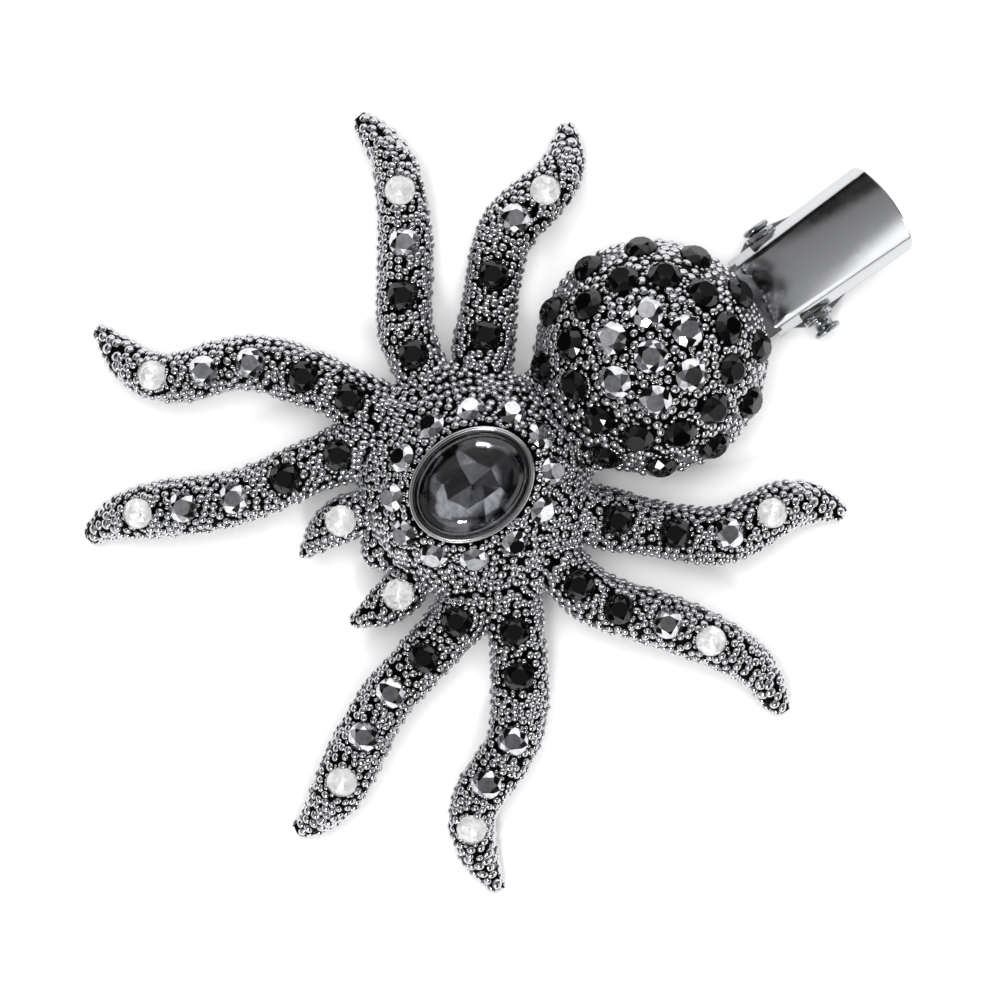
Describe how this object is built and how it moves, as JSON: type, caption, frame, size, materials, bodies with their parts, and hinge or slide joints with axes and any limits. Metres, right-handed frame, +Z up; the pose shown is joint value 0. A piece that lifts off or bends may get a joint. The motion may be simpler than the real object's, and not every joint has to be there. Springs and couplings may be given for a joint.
{
  "type": "spider hair clip",
  "caption": "Spider-shaped hair clip: beaded antique metal casting with cut stones and an oval centre stone, on a sprung metal lever clip.",
  "frame": {"origin": "On the surface that the clip lies on, straight below the middle of the oval stone, on the underside of the lower arm.", "axes": "+Y from the spider's head to the thumb levers, +Z up from the surface, +X to the spider's right as seen from above with the levers at the top."},
  "size_m": [0.0672, 0.0777, 0.0131],
  "materials": {
    "antique_casting": "antique, beaded, polished high points",
    "polished_rim": "polished",
    "polished_clip": "polished",
    "spring_wire": "drawn wire",
    "stone_clear": "faceted, foil-backed",
    "stone_grey": "faceted, mirror-backed grey",
    "stone_black": "faceted, jet black",
    "stone_smoky": "faceted, smoky, foil-backed"
  },
  "bodies": {
    "ornament": {"spider_casting": "antique_casting", "oval_setting": "polished_rim", "oval_stone": "stone_smoky", "thorax_stones": "stone_grey", "abdomen_stones": "stone_black", "clip_upper_arm": "polished_clip", "clip_axle": "polished_clip", "clip_spring": "spring_wire", "palp_right_stone_1": "stone_clear", "rear_leg_right_stone_1": "stone_black", "rear_leg_right_stone_2": "stone_black", "rear_leg_right_stone_3": "stone_grey", "rear_leg_right_stone_4": "stone_clear", "side_leg_right_stone_1": "stone_black", "side_leg_right_stone_2": "stone_black", "side_leg_right_stone_3": "stone_grey", "side_leg_right_stone_4": "stone_clear", "front_side_leg_right_stone_1": "stone_black", "front_side_leg_right_stone_2": "stone_black", "front_side_leg_right_stone_3": "stone_grey", "front_side_leg_right_stone_4": "stone_grey", "front_side_leg_right_stone_5": "stone_clear", "front_leg_right_stone_1": "stone_black", "front_leg_right_stone_2": "stone_black", "front_leg_right_stone_3": "stone_grey", "front_leg_right_stone_4": "stone_grey", "front_leg_right_stone_5": "stone_clear", "palp_left_stone_1": "stone_clear", "rear_leg_left_stone_1": "stone_black", "rear_leg_left_stone_2": "stone_black", "rear_leg_left_stone_3": "stone_grey", "rear_leg_left_stone_4": "stone_clear", "side_leg_left_stone_1": "stone_black", "side_leg_left_stone_2": "stone_black", "side_leg_left_stone_3": "stone_grey", "side_leg_left_stone_4": "stone_clear", "front_side_leg_left_stone_1": "stone_black", "front_side_leg_left_stone_2": "stone_black", "front_side_leg_left_stone_3": "stone_grey", "front_side_leg_left_stone_4": "stone_grey", "front_side_leg_left_stone_5": "stone_clear", "front_leg_left_stone_1": "stone_black", "front_leg_left_stone_2": "stone_black", "front_leg_left_stone_3": "stone_grey", "front_leg_left_stone_4": "stone_grey", "front_leg_left_stone_5": "stone_clear"},
    "lower_jaw": {"clip_lower_arm": "polished_clip"}
  },
  "joints": [
    {"name": "jaw_hinge", "type": "hinge", "parent": "lower_jaw", "child": "ornament", "pos_m": [0.0012, 0.0344, 0.0023], "axis": [-1, 0, 0], "range_deg": [0, 25], "stiffness_Nm_per_rad": 0.05, "springref_deg": -34.38, "deforming": ["clip_spring"]}
  ]
}
